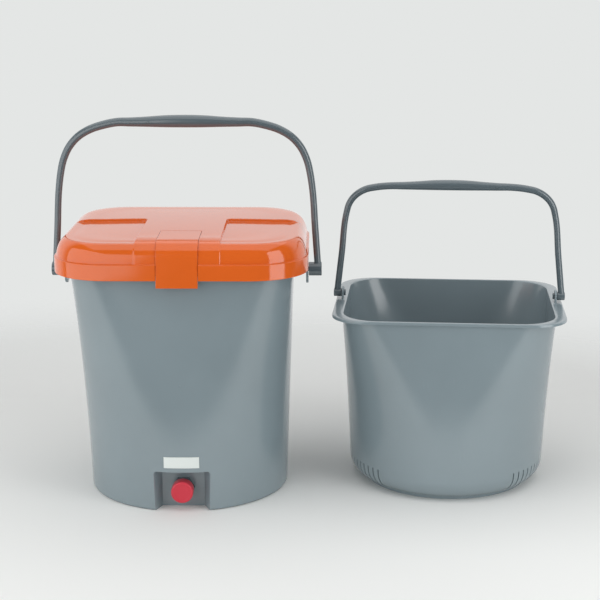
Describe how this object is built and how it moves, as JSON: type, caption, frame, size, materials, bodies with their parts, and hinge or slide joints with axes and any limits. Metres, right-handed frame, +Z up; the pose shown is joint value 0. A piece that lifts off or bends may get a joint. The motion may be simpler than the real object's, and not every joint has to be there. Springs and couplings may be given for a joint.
{
  "type": "organic waste bin",
  "caption": "Lidded organic waste bin with swinging carry bail, front latch and screw-capped drain, and its slotted lift-out bucket with its own bail.",
  "frame": {"origin": "middle of the bin's flat base, on the surface it stands on", "axes": "+Z up, -Y towards the front with the latch and the drain, +X to the right, towards the bucket"},
  "size_m": [0.6599, 0.3078, 0.4763],
  "materials": {
    "bin_plastic": "satin moulded grey polypropylene",
    "bucket_plastic": "satin moulded grey polypropylene",
    "dark_plastic": "satin moulded dark grey polypropylene",
    "lid_plastic": "glossy moulded orange plastic",
    "red_plastic": "satin moulded red plastic",
    "label": "plain white printed-film label, left blank",
    "rubber": "matt black rubber"
  },
  "bodies": {
    "root": {"outer_bin": "bin_plastic", "blank_label": "label", "drain_spout": "dark_plastic", "drain_washer": "rubber", "drain_nut": "dark_plastic", "lid_hinge_pin": "dark_plastic"},
    "lid": {"lid": "lid_plastic", "lid_seal": "rubber", "latch_pin": "dark_plastic"},
    "latch": {"latch": "lid_plastic"},
    "carry_bail": {"carry_bail": "dark_plastic", "carry_bail_pin_left": "dark_plastic", "carry_bail_pin_right": "dark_plastic"},
    "drain_cap_seal": {"drain_cap_seal": "rubber"},
    "drain_cap": {"drain_cap": "red_plastic"},
    "inner_bucket": {"inner_bucket": "bucket_plastic", "bucket_bail_pin_left": "dark_plastic", "bucket_bail_pin_right": "dark_plastic"},
    "bucket_bail": {"bucket_bail": "dark_plastic"}
  },
  "joints": [
    {"name": "lid_hinge", "type": "hinge", "parent": "root", "child": "lid", "pos_m": [0, 0.15, 0.3], "axis": [-1, 0, 0], "range_deg": [0, 54.5]},
    {"name": "latch_hinge", "type": "hinge", "parent": "lid", "child": "latch", "pos_m": [0, -0.07, 0.3399], "axis": [-1, 0, 0], "range_deg": [0, 100]},
    {"name": "carry_bail_swing", "type": "hinge", "parent": "root", "child": "carry_bail", "pos_m": [0, 0, 0.281], "axis": [-1, 0, 0], "range_deg": [-128, 128]},
    {"name": "drain_cap_travel", "type": "slide", "parent": "root", "child": "drain_cap_seal", "axis": [0, -1, 0], "range_m": [0, 0.006]},
    {"name": "drain_cap_turn", "type": "hinge", "parent": "drain_cap_seal", "child": "drain_cap", "pos_m": [0, -0.12, 0.025], "axis": [0, -1, 0], "range_deg": [0, 720]},
    {"name": "bucket_lift", "type": "slide", "parent": "root", "child": "inner_bucket", "axis": [0, 0, 1], "range_m": [0, 0.3]},
    {"name": "bucket_bail_swing", "type": "hinge", "parent": "inner_bucket", "child": "bucket_bail", "pos_m": [0.3365, 0.027, 0.242], "axis": [0.9971, -0.076, 0], "range_deg": [-90, 90]}
  ],
  "couplings": [
    {"joint": "carry_bail_swing", "follows": "lid_hinge", "ratio": 2.3},
    {"joint": "drain_cap_travel", "follows": "drain_cap_turn", "m_per_rad": 0.00047746}
  ]
}
